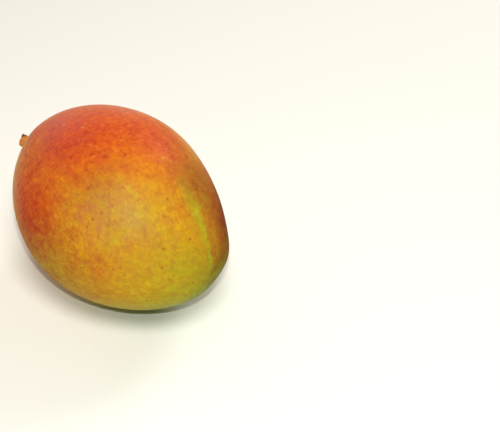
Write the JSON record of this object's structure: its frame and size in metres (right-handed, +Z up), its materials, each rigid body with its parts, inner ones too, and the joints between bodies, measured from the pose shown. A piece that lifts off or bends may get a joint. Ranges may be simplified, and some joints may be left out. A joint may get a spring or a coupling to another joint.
{
  "type": "mango",
  "caption": "Whole ripe mango lying on one cheek: plump egg-shaped fruit with a slight beak, a shallow stem cavity and a short broken stalk stub.",
  "frame": {"origin": "middle of the small flat spot on the lower cheek that the fruit rests on, right under its weight", "axes": "+Z up, +X along the fruit from the stem end towards the tip, +Y towards the belly side with the beak"},
  "size_m": [0.1296, 0.0963, 0.0926],
  "materials": {
    "fruit_skin": "waxy satin fruit skin, orange-red to yellow-green",
    "stem_bark": "dry rough stalk bark"
  },
  "bodies": {
    "root": {"fruit": "fruit_skin", "stem_stub": "stem_bark"}
  },
  "joints": []
}
